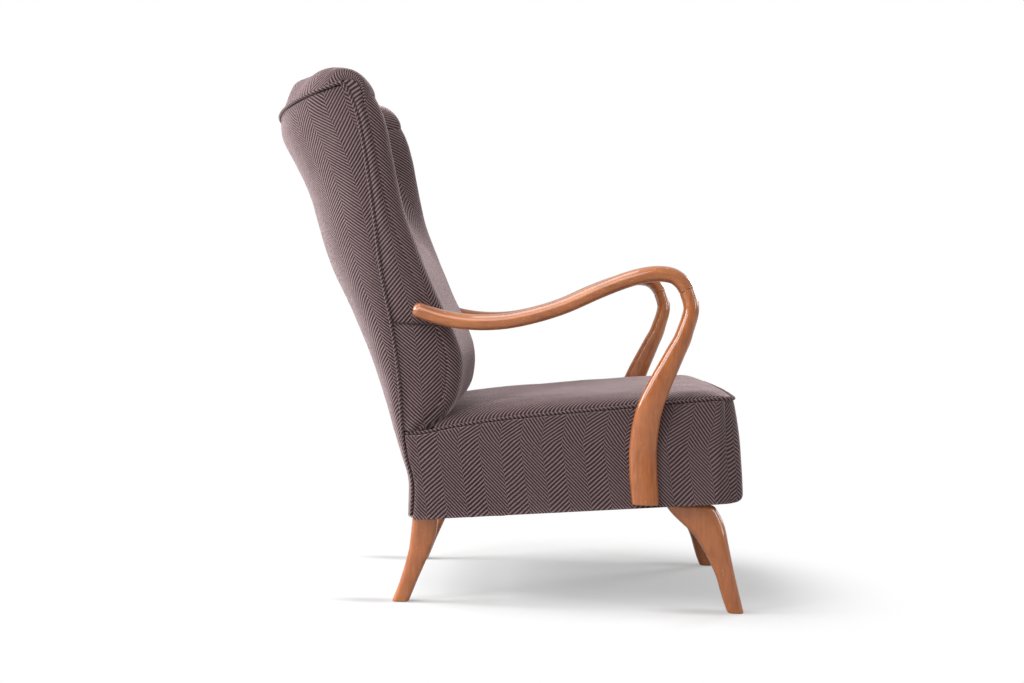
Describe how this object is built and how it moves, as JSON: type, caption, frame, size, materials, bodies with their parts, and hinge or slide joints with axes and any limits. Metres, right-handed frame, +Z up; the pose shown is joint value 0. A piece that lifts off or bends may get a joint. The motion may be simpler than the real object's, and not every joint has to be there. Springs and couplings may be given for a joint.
{
  "type": "fireside chair",
  "caption": "Fireside chair with a wrap-round upholstered back, a sprung seat, slim show-wood arms and sabre legs.",
  "frame": {"origin": "on the floor, under the middle of the outer box", "axes": "+Z up, the chair faces -Y, +X to the sitter's left"},
  "size_m": [0.7136, 0.8878, 0.9584],
  "materials": {
    "show_wood": "orange-brown stained beech under satin lacquer",
    "frame_beech": "plain sawn beech",
    "steel": "plain steel wire and bolts",
    "jute": "woven jute",
    "padding": "felted stuffing",
    "dust_cloth": "thin black lining cloth",
    "cover_fabric": "plum and mauve-grey herringbone weave"
  },
  "bodies": {
    "root": {"armrest_left": "show_wood", "armrest_right": "show_wood", "arm_support_left": "show_wood", "arm_support_right": "show_wood", "arm_dowels": "frame_beech", "arm_bolts": "steel", "front_leg_left": "show_wood", "front_leg_right": "show_wood", "rear_leg_left": "show_wood", "rear_leg_right": "show_wood", "leg_bolts": "steel", "seat_front_rail": "frame_beech", "seat_rear_rail": "frame_beech", "seat_side_rail_left": "frame_beech", "seat_side_rail_right": "frame_beech", "seat_corner_blocks": "frame_beech", "seat_dowels": "frame_beech", "seat_webbing": "jute", "seat_springs": "steel", "seat_hessian": "jute", "seat_spring_edge": "padding", "seat_edge_pad": "padding", "seat_pad": "padding", "seat_top_cover": "cover_fabric", "seat_boxing": "cover_fabric", "seat_piping": "cover_fabric", "dust_cover": "dust_cloth", "back_post_left": "frame_beech", "back_post_right": "frame_beech", "back_top_rail": "frame_beech", "back_arm_rail": "frame_beech", "back_dowels": "frame_beech", "back_webbing": "jute", "back_hessian": "jute", "back_pad": "padding", "back_side_pad_left": "padding", "back_side_pad_right": "padding", "inside_back_cover": "cover_fabric", "wing_border_left": "cover_fabric", "wing_border_right": "cover_fabric", "lumbar_side_left": "cover_fabric", "lumbar_side_right": "cover_fabric", "top_border": "cover_fabric", "outside_back_cover": "cover_fabric", "back_piping": "cover_fabric", "back_buttons": "cover_fabric"}
  },
  "joints": []
}
